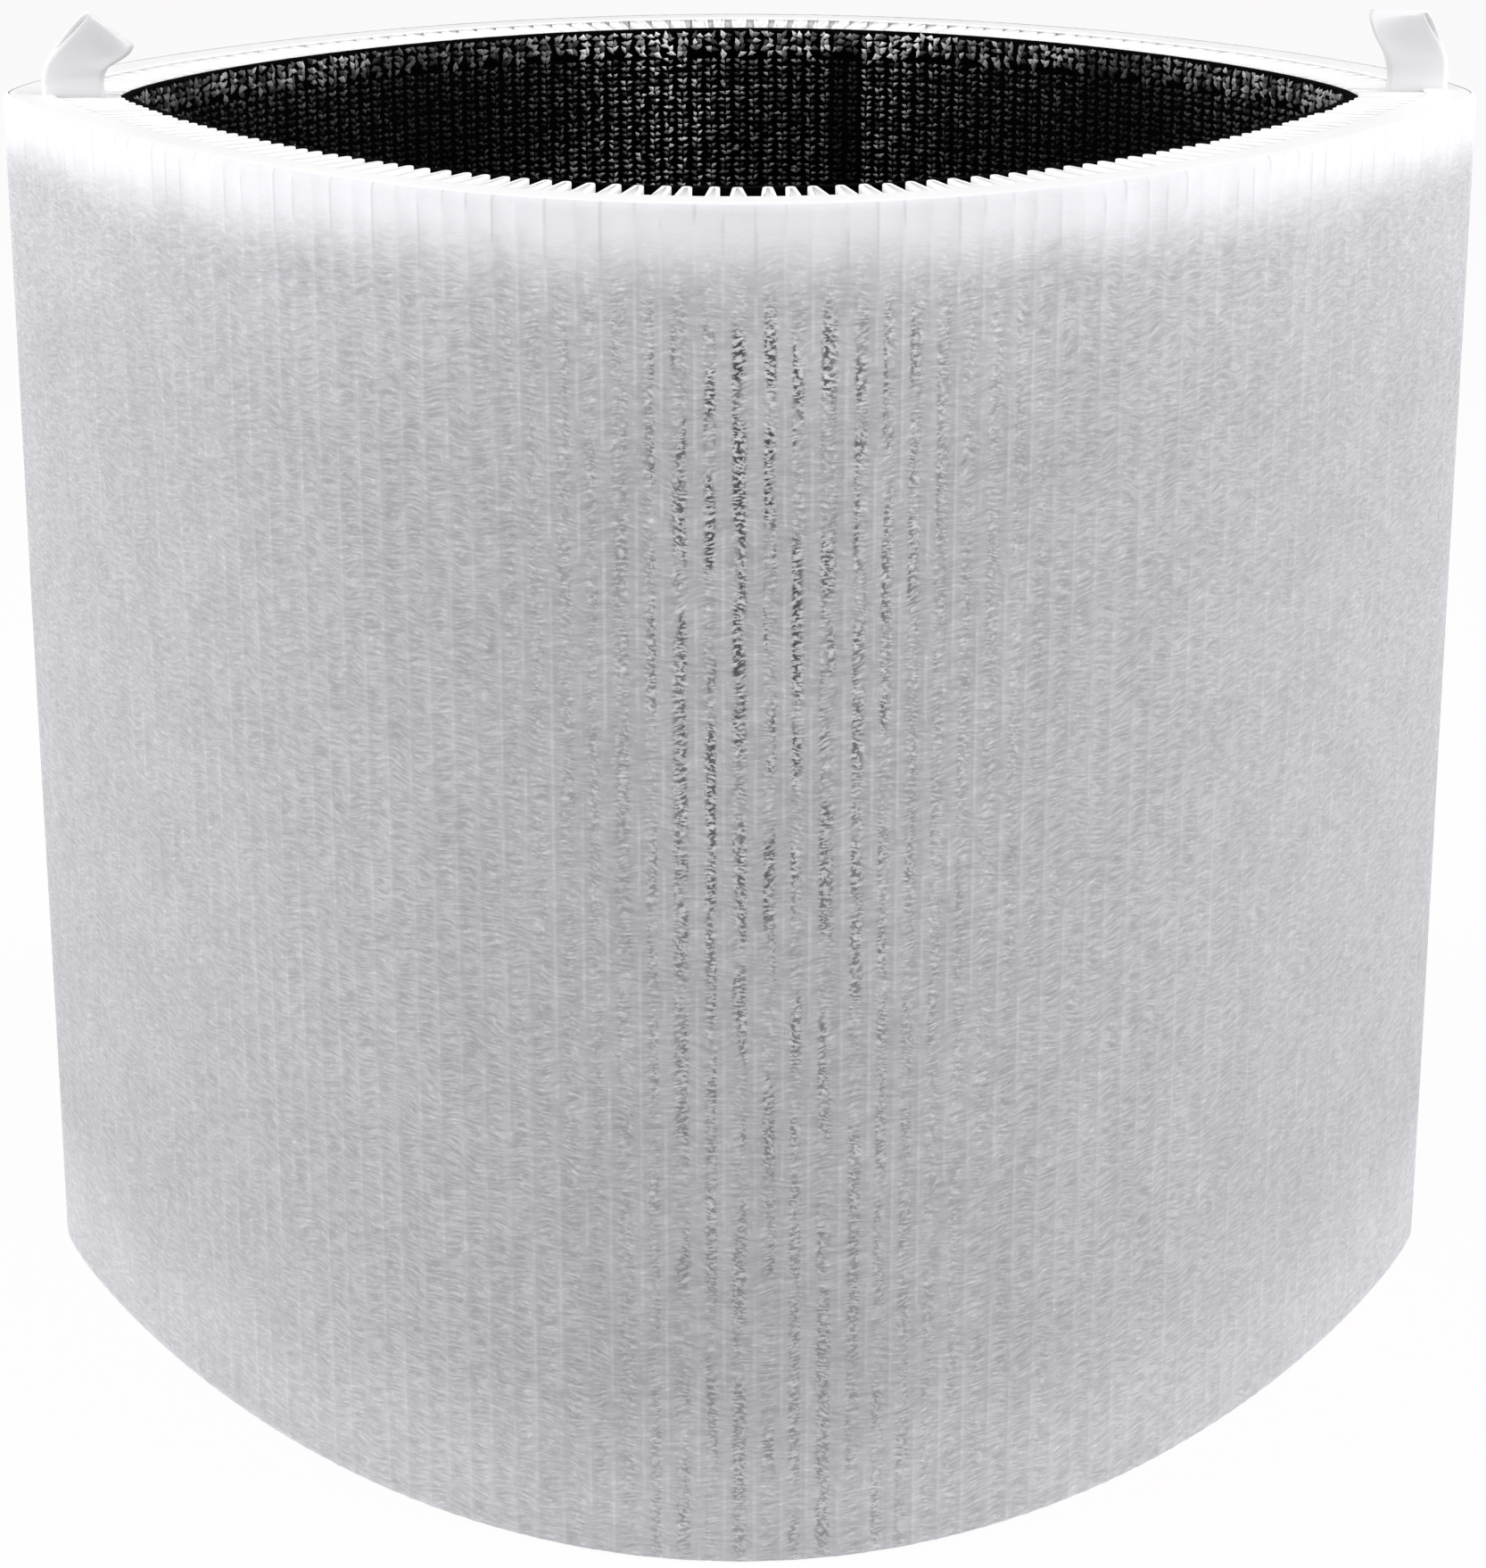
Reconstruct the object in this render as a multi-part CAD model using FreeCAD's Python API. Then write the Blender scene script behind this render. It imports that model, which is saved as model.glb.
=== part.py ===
import FreeCAD, Part
import bisect
import math
import os

# A sleeve filter for an air purifier, in millimetres. It stands on its
# lower end, its axis is +Z, and the origin is the middle of the lower end.
# White pleats stand in a ring, with a fluffy sleeve outside and a black
# carbon sleeve and knitted net inside. Two ribbon tabs lift it out.

# Overall size
OUTER_DIAMETER = 240.0
HEIGHT = 202.0
FIT = 0.1

# The soft ring isn't quite round: it was packed flat, and opens to a lens
# with a corner at each tab. Each half of its plan is a half round where the
# share is 0 and a parabola where it is 1
FRONT_LENS = 0.85
REAR_LENS = 0.45
PLAN_STEPS = 720

# Fluffy outer sleeve: a ridge over each fold, a shallow dip between folds
WRAP_THICKNESS = 0.8
WRAP_DIP = 0.3
WRAP_SEAM_DIP = 0.2

# Pleated white paper, folded round the axis
PLEAT_PITCH = 4.13
PLEAT_DEPTH = 18.0
MEDIA_THICKNESS = 0.6
PAPER_SQUEEZE = 0.95
OUTER_FOLD_WIDTH = 2.4
INNER_FOLD_WIDTH = 1.5

# White end rings, and the adhesive that fills the outer valleys at the top
TOP_RING_THICKNESS = 0.4
TOP_RING_WIDTH = 7.1
BOTTOM_RING_THICKNESS = 1.5
POTTING_DEPTH = 7.6
POTTING_FILM = 0.3
POTTING_CLEARANCE = 0.05

# Carbon sleeve and knitted net that line the inner folds
CARBON_THICKNESS = 1.2
FOLDS_PER_FLAT = 2
NET_THICKNESS = 0.5
LINING_TOP_SETBACK = 0.6
NET_RIB_PITCH = 2.66
NET_RIB_HEIGHT = 0.35
NET_LAP_WIDTH = 6.0
NET_LAP_THICKNESS = 0.45
NET_LAP_ANGLE = 78.0
NET_HEM_HEIGHT = 6.0
NET_HEM_THICKNESS = 0.6

# Ribbon tabs: each one is a loop whose two tails are glued into a valley
TAB_WIDTH = 10.0
TAB_THICKNESS = 0.25
TAB_HEIGHT = 12.0
TAB_TAIL_DEPTH = 15.0
TAB_TAIL_SPACING = 0.1
TAB_STRAIGHT = 2.6
TAB_LOOP_GAP = 2.6
TAB_EDGE_INSET = 2.4
LEFT_TAB_LEAN = 5.0
LEFT_TAB_TILT = 28.0
LEFT_TAB_TURN = 22.0
RIGHT_TAB_LEAN = 1.8
RIGHT_TAB_TILT = 3.0
RIGHT_TAB_TURN = -18.0

# The bent part of one side of a loop, from below: share of the gap, of the
# rise and of the lean taken up at each stop, and the ribbon's roll in degrees
LOOP_STOPS = [(1.0, 0.30, 0.15, 0.0), (1.0, 0.68, 0.65, 0.0), (0.7, 0.92, 0.95, -45.0)]

# Places that follow from the sizes above, from the outside inwards
outer_radius = OUTER_DIAMETER / 2
wrap_inner_radius = outer_radius - WRAP_THICKNESS
ring_outer_radius = wrap_inner_radius - FIT
fold_outer_radius = ring_outer_radius - POTTING_FILM - POTTING_CLEARANCE
fold_inner_radius = fold_outer_radius - PLEAT_DEPTH
ring_inner_radius = ring_outer_radius - TOP_RING_WIDTH
carbon_outer_radius = fold_inner_radius - FIT
carbon_inner_radius = carbon_outer_radius - CARBON_THICKNESS

media_bottom = BOTTOM_RING_THICKNESS
media_top = HEIGHT - TOP_RING_THICKNESS
lining_bottom = BOTTOM_RING_THICKNESS
lining_top = HEIGHT - LINING_TOP_SETBACK

net_outer_radius = carbon_inner_radius - FIT
net_inner_radius = net_outer_radius - NET_THICKNESS
tail_pair_thickness = 2 * TAB_THICKNESS + TAB_TAIL_SPACING


def plan_point(angle, share):
    """Point on the rear half of the plan, at size one."""
    depth = (1 - share) * math.sin(angle) + share * math.sin(angle) ** 2
    return math.cos(angle), depth


def lengths_along(share):
    """Length of the half plan, at size one, up to each small step."""
    lengths = [0.0]
    points = [plan_point(math.pi * step / PLAN_STEPS, share) for step in range(PLAN_STEPS + 1)]
    for before, after in zip(points, points[1:]):
        lengths.append(lengths[-1] + math.dist(before, after))
    return lengths


front_lengths = lengths_along(FRONT_LENS)
rear_lengths = lengths_along(REAR_LENS)
plan_length = front_lengths[-1] + rear_lengths[-1]

# An even number of folds puts one in each corner of the plan, and smooth
# walls have an even number of flats
pleat_count = 2 * round(plan_length * fold_outer_radius / PLEAT_PITCH / 2)
pleat_angle = 2 * math.pi / pleat_count
wall_sides = 2 * round(pleat_count / FOLDS_PER_FLAT / 2)


def polar(radius, turn):
    """Point of the plan at a size and a turn, where even turns are evenly spaced."""
    rear = turn % (2 * math.pi) <= math.pi
    share, lengths = (REAR_LENS, rear_lengths) if rear else (FRONT_LENS, front_lengths)
    half_turn = turn % (2 * math.pi) if rear else 2 * math.pi - turn % (2 * math.pi)
    wanted = lengths[-1] * half_turn / math.pi
    step = min(max(bisect.bisect_left(lengths, wanted), 1), PLAN_STEPS)
    part = (wanted - lengths[step - 1]) / (lengths[step] - lengths[step - 1])
    across, depth = plan_point(math.pi * (step - 1 + part) / PLAN_STEPS, share)
    return FreeCAD.Vector(radius * across, radius * (depth if rear else -depth), 0)


def turn_for(radius, distance):
    """Turn that moves a point this far along the plan."""
    return 2 * math.pi * distance / (radius * plan_length)


def closed_wire(points):
    """Wire of straight edges through the points and back to the first."""
    return Part.makePolygon(points + points[:1])


def smooth_wire(radius):
    """Wire of short flats round the plan at a size."""
    step = 2 * math.pi / wall_sides
    return closed_wire([polar(radius, index * step) for index in range(wall_sides)])


def wall(outer_wire, inner_wire, bottom, top):
    """Upright wall between two wires drawn at height zero."""
    face = Part.makeFace([outer_wire, inner_wire], "Part::FaceMakerBullseye")
    face.translate(FreeCAD.Vector(0, 0, bottom))
    return face.extrude(FreeCAD.Vector(0, 0, top - bottom))


def smooth_wall(outer, inner, bottom, top):
    """Plain wall between two sizes of the plan."""
    return wall(smooth_wire(outer), smooth_wire(inner), bottom, top)


def fold_outline(outer, outer_width, inner, inner_width):
    """Outline through all folds: a flat at each outer and each inner fold."""
    outer_side = turn_for(outer, outer_width / 2)
    inner_side = turn_for(inner, inner_width / 2)
    points = []
    for index in range(pleat_count):
        fold = index * pleat_angle
        valley = fold + pleat_angle / 2
        points.append(polar(outer, fold - outer_side))
        points.append(polar(outer, fold + outer_side))
        points.append(polar(inner, valley - inner_side))
        points.append(polar(inner, valley + inner_side))
    return points


def pleated_media():
    """One strip of paper, folded into narrow pleats and closed into a ring."""
    slit_width = INNER_FOLD_WIDTH - 2 * PAPER_SQUEEZE * MEDIA_THICKNESS
    outside = fold_outline(
        fold_outer_radius,
        OUTER_FOLD_WIDTH,
        fold_inner_radius + MEDIA_THICKNESS,
        slit_width,
    )
    inside = fold_outline(
        fold_outer_radius - MEDIA_THICKNESS,
        OUTER_FOLD_WIDTH - 2 * MEDIA_THICKNESS,
        fold_inner_radius,
        INNER_FOLD_WIDTH,
    )
    return wall(closed_wire(outside), closed_wire(inside), media_bottom, media_top)


def top_potting():
    """Adhesive collar with a finger that fills each outer valley to its root."""
    mouth = turn_for(
        fold_outer_radius + POTTING_CLEARANCE,
        OUTER_FOLD_WIDTH / 2 + POTTING_CLEARANCE,
    )
    root = fold_inner_radius + MEDIA_THICKNESS + POTTING_CLEARANCE
    points = []
    for index in range(pleat_count):
        fold = index * pleat_angle
        points.append(polar(fold_outer_radius + POTTING_CLEARANCE, fold - mouth))
        points.append(polar(fold_outer_radius + POTTING_CLEARANCE, fold + mouth))
        points.append(polar(root, fold + pleat_angle / 2))
    bottom = media_top - POTTING_DEPTH
    return wall(smooth_wire(ring_outer_radius), closed_wire(points), bottom, media_top)


def outer_wrap():
    """Fluffy sleeve with a ridge over each fold and a seam at the back."""
    seam_index = pleat_count // 4
    points = []
    for index in range(pleat_count):
        ridge = index * pleat_angle
        dip = WRAP_DIP + WRAP_SEAM_DIP if index == seam_index else WRAP_DIP
        points.append(polar(outer_radius, ridge))
        points.append(polar(outer_radius - dip, ridge + pleat_angle / 2))
    return wall(closed_wire(points), smooth_wire(wrap_inner_radius), 0.0, HEIGHT)


def tab_notch(side):
    """Slot in the top ring where the tails of one tab pass."""
    length = TAB_WIDTH + 2 * FIT
    width = tail_pair_thickness + 2 * FIT
    height = TOP_RING_THICKNESS + 2 * FIT
    start = tab_middle(side).Length - length / 2
    corner = FreeCAD.Vector(start, -width / 2, media_top - FIT)
    return turned(Part.makeBox(length, width, height, corner), tab_middle(side))


def top_ring():
    """Flat white ring over the outer part of the pleats."""
    ring = smooth_wall(ring_outer_radius, ring_inner_radius, media_top, HEIGHT)
    return ring.cut([tab_notch(-1), tab_notch(1)])


def bottom_ring():
    """Flat white ring that closes the pleats at the lower end."""
    return smooth_wall(ring_outer_radius, fold_inner_radius, 0.0, BOTTOM_RING_THICKNESS)


def carbon_layer():
    """Black carbon sleeve inside the inner folds."""
    return smooth_wall(carbon_outer_radius, carbon_inner_radius, lining_bottom, lining_top)


def inner_net():
    """Knitted net: upright ribs, a flat lap seam and a folded top hem."""
    lap_middle = math.radians(NET_LAP_ANGLE)
    lap_half = turn_for(net_inner_radius, NET_LAP_WIDTH / 2)
    lap_radius = net_inner_radius - NET_LAP_THICKNESS
    points = []
    for side in (-1, 1):
        points.append(polar(lap_radius, lap_middle + side * lap_half))
    free_angle = 2 * math.pi - 2 * lap_half
    ribs = round(free_angle / turn_for(net_inner_radius, NET_RIB_PITCH))
    rib_angle = free_angle / ribs
    for index in range(ribs):
        foot = lap_middle + lap_half + index * rib_angle
        points.append(polar(net_inner_radius, foot))
        points.append(polar(net_inner_radius - NET_RIB_HEIGHT, foot + rib_angle / 2))
    points.append(polar(net_inner_radius, lap_middle - lap_half))
    hem_bottom = lining_top - NET_HEM_HEIGHT
    outside = smooth_wire(net_outer_radius)
    sleeve = wall(outside, closed_wire(points), lining_bottom, hem_bottom)
    hem_inside = smooth_wire(net_inner_radius - NET_HEM_THICKNESS)
    hem = wall(outside, hem_inside, hem_bottom, lining_top)
    return sleeve.fuse(hem).removeSplitter()


def tab_middle(side):
    """Middle of a tab's root: in the fold next to a corner of the plan."""
    fold = polar(fold_outer_radius, pleat_angle + (math.pi if side < 0 else 0.0))
    inset = TAB_EDGE_INSET + TAB_WIDTH / 2
    return fold * ((fold.Length - inset) / fold.Length)


def turned(shape, towards):
    """Copy of a shape, turned about the axis from +X towards a point."""
    copy = shape.copy()
    angle = math.degrees(math.atan2(towards.y, towards.x))
    copy.rotate(FreeCAD.Vector(0, 0, 0), FreeCAD.Vector(0, 0, 1), angle)
    return copy


def ribbon_section(middle, roll, tilt, turn):
    """Four corners of the ribbon's cross-section, given in degrees."""
    about_z = FreeCAD.Rotation(FreeCAD.Vector(0, 0, 1), turn)
    about_y = FreeCAD.Rotation(FreeCAD.Vector(0, 1, 0), -tilt)
    about_x = FreeCAD.Rotation(FreeCAD.Vector(1, 0, 0), roll)
    pose = about_z.multiply(about_y).multiply(about_x)
    half = pose.multVec(FreeCAD.Vector(TAB_WIDTH / 2, 0, 0))
    thin = pose.multVec(FreeCAD.Vector(0, TAB_THICKNESS / 2, 0))
    return [
        middle - half - thin,
        middle + half - thin,
        middle + half + thin,
        middle - half + thin,
    ]


def facets(low_left, low_right, high_left, high_right, mirrored):
    """Two triangles over a side that may be twisted."""
    if mirrored:
        corners = [[low_left, low_right, high_left], [low_right, high_right, high_left]]
    else:
        corners = [[low_left, low_right, high_right], [low_left, high_right, high_left]]
    return [Part.Face(closed_wire(triangle)) for triangle in corners]


def skin(sections):
    """Solid through a row of four-cornered sections, with flat facets."""
    faces = [Part.Face(closed_wire(sections[0][::-1])), Part.Face(closed_wire(sections[-1]))]
    for low, high in zip(sections, sections[1:]):
        for index in range(4):
            after = (index + 1) % 4
            # Front and back split along the same diagonal, so a twist
            # leaves the ribbon equally thick
            faces += facets(low[index], low[after], high[index], high[after], index > 1)
    shell = Part.makeShell(faces)
    shell.sewShape()
    return Part.Solid(shell)


def pull_tab(side, lean, tilt, turn):
    """Ribbon loop: up from one tail, over the top and down to the other."""
    tail = (TAB_THICKNESS + TAB_TAIL_SPACING) / 2
    drop = math.sin(math.radians(tilt)) * TAB_WIDTH / 2
    crown = TAB_HEIGHT - TAB_THICKNESS / 2 - drop
    # Each stop: distance from the middle plane, height above the ring, the
    # share of lean, tilt and turn taken up there, and the ribbon's own roll
    rising = [(-tail, -TAB_TAIL_DEPTH, 0.0, 0.0), (-tail, TAB_STRAIGHT, 0.0, 0.0)]
    for gap_share, rise_share, share, roll in LOOP_STOPS:
        height = TAB_STRAIGHT + rise_share * (crown - TAB_STRAIGHT)
        rising.append((-gap_share * TAB_LOOP_GAP / 2, height, share, roll))
    falling = [(-across, height, share, -180.0 - roll) for across, height, share, roll in rising]
    stops = rising + [(0.0, crown, 1.0, -90.0)] + falling[::-1]
    root = tab_middle(side)
    sections = []
    for across, height, share, roll in stops:
        about_z = FreeCAD.Rotation(FreeCAD.Vector(0, 0, 1), turn * share)
        middle = FreeCAD.Vector(root.Length - lean * share, 0, HEIGHT + height)
        middle = middle + about_z.multVec(FreeCAD.Vector(0, across, 0))
        sections.append(ribbon_section(middle, roll, tilt * share, turn * share))
    return turned(skin(sections), root)


def pull_tab_left():
    return pull_tab(-1, LEFT_TAB_LEAN, LEFT_TAB_TILT, LEFT_TAB_TURN)


def pull_tab_right():
    return pull_tab(1, RIGHT_TAB_LEAN, RIGHT_TAB_TILT, RIGHT_TAB_TURN)


PIECES = {
    "pleated_media": pleated_media,
    "outer_wrap": outer_wrap,
    "carbon_layer": carbon_layer,
    "inner_net": inner_net,
    "top_potting": top_potting,
    "top_ring": top_ring,
    "bottom_ring": bottom_ring,
    "pull_tab_left": pull_tab_left,
    "pull_tab_right": pull_tab_right,
}


def main():
    os.makedirs("parts", exist_ok=True)
    for name, make in PIECES.items():
        shape = make()
        shape.exportStep(os.path.join("parts", name + ".step"))
        box = shape.BoundBox
        print(name, "valid", shape.isValid(), "solids", len(shape.Solids), end=" ")
        print("volume %.0f" % shape.Volume, "z %.2f to %.2f" % (box.ZMin, box.ZMax))


main()
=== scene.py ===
import math

import bpy
import numpy as np
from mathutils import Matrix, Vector


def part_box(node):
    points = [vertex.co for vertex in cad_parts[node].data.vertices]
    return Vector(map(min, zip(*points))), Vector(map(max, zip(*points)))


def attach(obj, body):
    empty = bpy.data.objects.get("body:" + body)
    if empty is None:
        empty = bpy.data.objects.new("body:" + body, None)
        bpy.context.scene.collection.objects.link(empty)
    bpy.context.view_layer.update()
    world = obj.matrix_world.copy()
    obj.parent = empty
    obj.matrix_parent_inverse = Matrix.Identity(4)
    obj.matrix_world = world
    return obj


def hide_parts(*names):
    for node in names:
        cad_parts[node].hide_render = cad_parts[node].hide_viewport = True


# A sleeve filter: white pleats under a fluffy sleeve, a black knitted net
# inside, and two satin pull tabs. Lengths are metres and angles radians,
# unless a comment says otherwise.

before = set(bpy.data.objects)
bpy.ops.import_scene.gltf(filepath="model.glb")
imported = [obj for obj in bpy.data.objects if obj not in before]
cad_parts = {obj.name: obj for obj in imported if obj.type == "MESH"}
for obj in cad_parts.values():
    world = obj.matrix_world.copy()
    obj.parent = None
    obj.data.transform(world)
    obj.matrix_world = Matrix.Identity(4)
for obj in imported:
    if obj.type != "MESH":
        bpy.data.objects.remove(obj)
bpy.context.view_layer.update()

MM = 0.001
FULL_TURN = 2 * math.pi

# Sizes of the part that no box in the frame states
PLEAT_PITCH = 4.13 * MM
PAPER = 0.6 * MM
RING_WIDTH = 7.1 * MM
CARBON_THICKNESS = 1.2 * MM
FIT = 0.1 * MM
POTTING_OVER_FOLDS = 0.35 * MM

# Sizes read from the frame: heights, and half widths from tab to tab
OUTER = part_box("outer_wrap")[1].x
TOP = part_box("outer_wrap")[1].z
PAPER_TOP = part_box("pleated_media")[1].z
POTTING_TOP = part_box("top_potting")[1].z
FOLD_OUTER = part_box("top_potting")[1].x - POTTING_OVER_FOLDS
RING_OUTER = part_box("top_ring")[1].x
RING_INNER = RING_OUTER - RING_WIDTH
CARBON_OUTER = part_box("carbon_layer")[1].x
CARBON_INNER = CARBON_OUTER - CARBON_THICKNESS
FOLD_INNER = CARBON_OUTER + FIT
NET_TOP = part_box("inner_net")[1].z
BOTTOM_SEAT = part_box("bottom_ring")[1].z

# The plan is a soft lens with a corner at each tab. Each half of it is a half
# round where its share is 0 and a parabola where it is 1
FRONT_LENS = 0.85
REAR_LENS = 0.45
PLAN_ANGLES = np.linspace(0, math.pi, 721)

rng = np.random.default_rng(7)


def half_plan(angle, share):
    """Across and depth of half the plan, at size one."""
    return np.cos(angle), (1 - share) * np.sin(angle) + share * np.sin(angle) ** 2


def lengths_along(share):
    """Length of half the plan, at size one, up to each of its angles."""
    across, depth = half_plan(PLAN_ANGLES, share)
    return np.concatenate([[0], np.cumsum(np.hypot(np.diff(across), np.diff(depth)))])


FRONT_LENGTHS = lengths_along(FRONT_LENS)
REAR_LENGTHS = lengths_along(REAR_LENS)
PLAN_LENGTH = float(FRONT_LENGTHS[-1] + REAR_LENGTHS[-1])

# An even number of pleats puts a fold in each corner of the plan
PLEATS = 2 * round(PLAN_LENGTH * FOLD_OUTER / PLEAT_PITCH / 2)
PITCH = FULL_TURN / PLEATS


def plan_points(radius, turn, z):
    """Points at a size of the plan, a turn and a height; even turns lie evenly."""
    radius, turn, z = np.broadcast_arrays(radius, turn, z)
    turn = turn % FULL_TURN
    rear = turn <= math.pi
    half = np.where(rear, turn, FULL_TURN - turn) / math.pi
    rear_angle = np.interp(half * REAR_LENGTHS[-1], REAR_LENGTHS, PLAN_ANGLES)
    front_angle = np.interp(half * FRONT_LENGTHS[-1], FRONT_LENGTHS, PLAN_ANGLES)
    rear_across, rear_depth = half_plan(rear_angle, REAR_LENS)
    front_across, front_depth = half_plan(front_angle, FRONT_LENS)
    x = np.where(rear, rear_across, front_across)
    y = np.where(rear, rear_depth, -front_depth)
    return np.stack([radius * x, radius * y, z], axis=-1)


def turn_for(radius, distance):
    """Turn that moves a point this far along the plan."""
    return FULL_TURN * distance / (radius * PLAN_LENGTH)


def turn_from(middle, turn):
    """Turn from a middle, from minus half a turn to plus half a turn."""
    return (turn - middle + math.pi) % FULL_TURN - math.pi


def mesh_object(name, points, faces, material, uv=None):
    """New smooth mesh. faces are an array, or a list that may hold any sizes,
    and uv, where given, holds one pair for each corner."""
    mesh = bpy.data.meshes.new(name)
    points = np.asarray(points, float).reshape(-1, 3)
    mesh.vertices.add(len(points))
    mesh.vertices.foreach_set("co", points.ravel())
    if isinstance(faces, np.ndarray):
        corners = faces.ravel()
        sizes = np.full(len(faces), faces.shape[1])
    else:
        corners = np.concatenate([np.asarray(face) for face in faces])
        sizes = np.array([len(face) for face in faces])
    starts = np.concatenate([[0], np.cumsum(sizes)[:-1]])
    mesh.loops.add(len(corners))
    mesh.loops.foreach_set("vertex_index", corners.astype(np.int32))
    mesh.polygons.add(len(sizes))
    mesh.polygons.foreach_set("loop_start", starts.astype(np.int32))
    mesh.polygons.foreach_set("loop_total", sizes.astype(np.int32))
    mesh.polygons.foreach_set("use_smooth", np.full(len(sizes), True))
    if uv is not None:
        layer = mesh.uv_layers.new(name="surface")
        layer.data.foreach_set("uv", np.asarray(uv, float).ravel())
    mesh.update(calc_edges=True)
    mesh.validate()
    mesh.materials.append(material)
    piece = bpy.data.objects.new(name, mesh)
    bpy.context.scene.collection.objects.link(piece)
    return piece


def grid_faces(rows, columns, close_rows=False):
    """Quads of a grid of points. Each row is a closed ring, and so are the
    columns if close_rows is set."""
    row = np.arange(rows if close_rows else rows - 1)
    column = np.arange(columns)
    row, column = np.meshgrid(row, column, indexing="ij")
    row, column = row.ravel(), column.ravel()
    next_row = (row + 1) % rows
    next_column = (column + 1) % columns
    corners = [
        row * columns + column,
        row * columns + next_column,
        next_row * columns + next_column,
        next_row * columns + column,
    ]
    return np.stack(corners, axis=1)


class Nodes:
    """Short way to add and join the shader nodes of one material."""

    def __init__(self, name):
        self.material = bpy.data.materials.new(name)
        self.material.use_nodes = True
        self.tree = self.material.node_tree
        self.tree.nodes.clear()
        self.output = self.tree.nodes.new("ShaderNodeOutputMaterial")

    def add(self, kind, settings=None, **inputs):
        node = self.tree.nodes.new(kind)
        for key, value in (settings or {}).items():
            setattr(node, key, value)
        for key, value in inputs.items():
            self.feed(node.inputs[key.replace("_", " ")], value)
        return node

    def feed(self, socket, value):
        """Link a socket to another, or set it to a value."""
        if isinstance(value, bpy.types.NodeSocket):
            self.tree.links.new(value, socket)
        else:
            socket.default_value = value

    def math(self, operation, first, second=0.0, third=0.0, clamp=False):
        node = self.add("ShaderNodeMath", {"operation": operation, "use_clamp": clamp})
        for socket, value in zip(node.inputs, (first, second, third)):
            self.feed(socket, value)
        return node.outputs[0]

    def stretch(self, value, low, high, to_low=0.0, to_high=1.0):
        """Smooth step of a value, from to_low at low to to_high at high."""
        node = self.add("ShaderNodeMapRange", {"clamp": True, "interpolation_type": "SMOOTHSTEP"})
        for socket, number in zip(node.inputs, (value, low, high, to_low, to_high)):
            self.feed(socket, number)
        return node.outputs[0]

    def noise(self, vector, scale, detail, roughness, flat=False):
        node = self.add(
            "ShaderNodeTexNoise",
            {"noise_dimensions": "2D" if flat else "3D"},
            Vector=vector,
            Scale=scale,
            Detail=detail,
            Roughness=roughness,
        )
        return node.outputs["Fac"]

    def attribute(self, name):
        return self.add("ShaderNodeAttribute", {"attribute_name": name}).outputs["Fac"]

    def moved(self, vector, scale, turn=0.0, shift=(0, 0, 0)):
        """Coordinate scaled, then turned by degrees, then shifted."""
        node = self.add("ShaderNodeMapping", Vector=vector)
        node.inputs["Rotation"].default_value = (0, 0, math.radians(turn))
        node.inputs["Scale"].default_value = scale
        node.inputs["Location"].default_value = shift
        return node.outputs[0]

    def blend(self, factor, first, second):
        node = self.add("ShaderNodeMix", {"data_type": "RGBA"})
        self.feed(node.inputs[0], factor)
        self.feed(node.inputs[6], first)
        self.feed(node.inputs[7], second)
        return node.outputs[2]

    def mixed(self, factor, first, second):
        """Mix of two shaders: the second one where the factor is 1."""
        node = self.add("ShaderNodeMixShader")
        self.feed(node.inputs[0], factor)
        self.feed(node.inputs[1], first.outputs[0])
        self.feed(node.inputs[2], second.outputs[0])
        return node

    def bump(self, height, distance, strength):
        node = self.add("ShaderNodeBump", Height=height, Distance=distance, Strength=strength)
        return node.outputs[0]

    def finish(self, shader):
        self.tree.links.new(shader.outputs[0], self.output.inputs["Surface"])
        return self.material


def grey(level, blue=0.0):
    """Linear colour of a grey, a little bluer where asked."""
    return (level, level * (1 - 0.2 * blue), level * (1 + blue), 1.0)


def unrolled(n):
    """Surface coordinate in millimetres: round the sleeve, then up."""
    surface = n.add("ShaderNodeUVMap", {"uv_map": "surface"}).outputs[0]
    return n.moved(surface, (1 / MM, 1 / MM, 1 / MM))


def bent(n, where):
    """Coordinate in millimetres that wanders up to a few from its place."""
    most_round, most_up = 2.0, 3.0
    wander = n.noise(where, 0.12, 1.0, 0.5, flat=True)
    node = n.add("ShaderNodeVectorMath", {"operation": "MULTIPLY_ADD"})
    n.feed(node.inputs[0], wander)
    node.inputs[1].default_value = (most_round, most_up, 0.0)
    n.feed(node.inputs[2], where)
    return node.outputs[0]


def fibre_streaks(n, where, turn, length, thickness, seed):
    """Fine streaks that lie roughly one way, from noise drawn out along them.
    The turn is in degrees, and the streaks' size in millimetres."""
    stretched = n.moved(where, (1 / length, 1 / thickness, 1), turn, (seed, seed * 1.7, 0))
    return n.noise(stretched, 1.0, 1.0, 0.55, flat=True)


# Places on the sleeve, in millimetres: how far its thinnest part is from the
# middle of a face, and between which heights it gets thinner
DRAWN_SHIFT = 7.0
DRAWN_LOW, DRAWN_HIGH = 40.0, 150.0
# How far below the rim the adhesive shows, thin spots start, and light from above is
# painted into the sleeve as a paler tone, each from where it is least to where it is most
SOAKED_LEAST, SOAKED_MOST = 13.2, 0.5
SPOTS_LEAST, SPOTS_MOST = 9.0, 17.0
LIT_FROM_ABOVE_LEAST, LIT_FROM_ABOVE_MOST = 40.0, 8.0
# Height under which light bounced off the floor is painted into the foot of the sleeve, which turns
# paler
FLOOR_BOUNCE_HEIGHT = 34.0


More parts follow.
